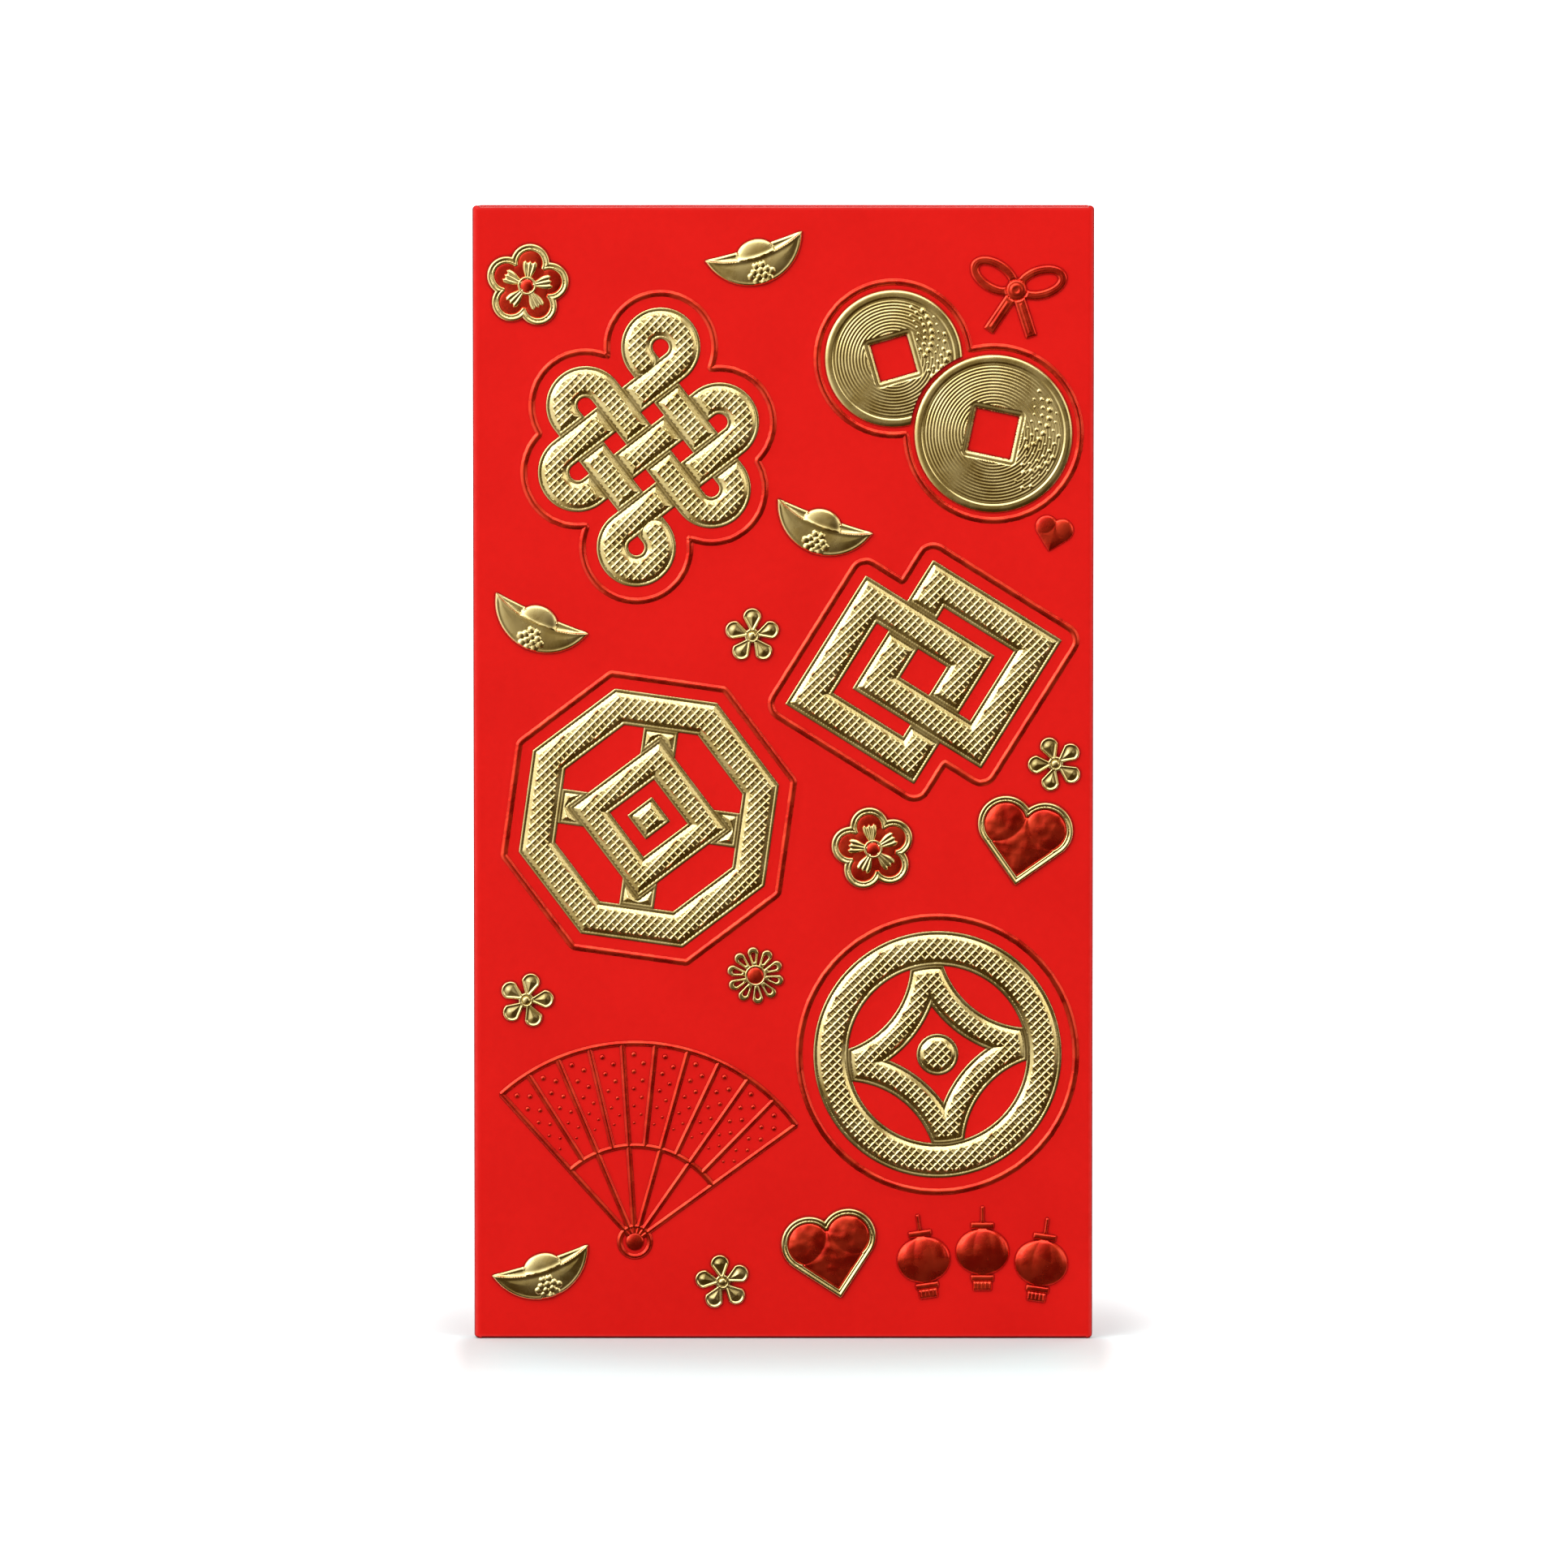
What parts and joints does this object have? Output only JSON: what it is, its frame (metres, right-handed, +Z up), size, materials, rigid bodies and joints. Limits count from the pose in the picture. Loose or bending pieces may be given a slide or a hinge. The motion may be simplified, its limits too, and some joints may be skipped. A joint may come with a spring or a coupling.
{
  "type": "red envelope",
  "caption": "Flat upright money packet of folded red card with an open-topped pocket, a double-creased flap that closes over the back, and embossed gold and red foil ornaments on the front.",
  "frame": {"origin": "middle of the flat bottom edge that the packet stands on", "axes": "+Z up along the packet's height, +X to the viewer's right across its width, front face towards -Y"},
  "size_m": [0.09, 0.0033, 0.165],
  "materials": {
    "red_card": "matte red printed card, white inside",
    "gold_foil": "metallic champagne gold foil on embossed card",
    "red_foil": "metallic red foil on embossed card",
    "paper_glue": "dried paper glue"
  },
  "bodies": {
    "pocket": {"front_panel": "red_card", "left_fold": "red_card", "right_fold": "red_card", "back_panel": "red_card", "side_tab": "red_card", "bottom_fold": "red_card", "bottom_flap": "red_card", "side_seam_glue": "paper_glue", "bottom_flap_glue": "paper_glue", "knot_emblem": "gold_foil", "lozenge_emblem": "gold_foil", "window_emblem": "gold_foil", "ring_emblem": "gold_foil", "front_coin": "gold_foil", "rear_coin": "gold_foil", "gold_ingots": "gold_foil", "plum_rims": "gold_foil", "plum_petals": "gold_foil", "small_blossoms": "gold_foil", "daisy_petals": "gold_foil", "heart_rims": "gold_foil", "knot_keyline": "red_foil", "lozenge_keyline": "red_foil", "window_keyline": "red_foil", "ring_keyline": "red_foil", "coin_keyline": "red_foil", "coin_bow": "red_foil", "fan_lines": "red_foil", "lantern_bodies": "red_foil", "lantern_trims": "red_foil", "plum_fields": "red_foil", "plum_eyes": "red_foil", "daisy_eye": "red_foil", "heart_fields": "red_foil", "small_heart": "red_foil"},
    "spine": {"closure_spine": "red_card"},
    "flap": {"closure_flap": "red_card"}
  },
  "joints": [
    {"name": "spine_fold", "type": "hinge", "parent": "pocket", "child": "spine", "pos_m": [0, -0.00108, 0.16482], "axis": [1, 0, 0], "range_deg": [0, 90]},
    {"name": "flap_fold", "type": "hinge", "parent": "spine", "child": "flap", "pos_m": [0, 0.00133, 0.16482], "axis": [1, 0, 0], "range_deg": [0, 90]}
  ],
  "couplings": [
    {"joint": "spine_fold", "follows": "flap_fold", "ratio": 1}
  ]
}
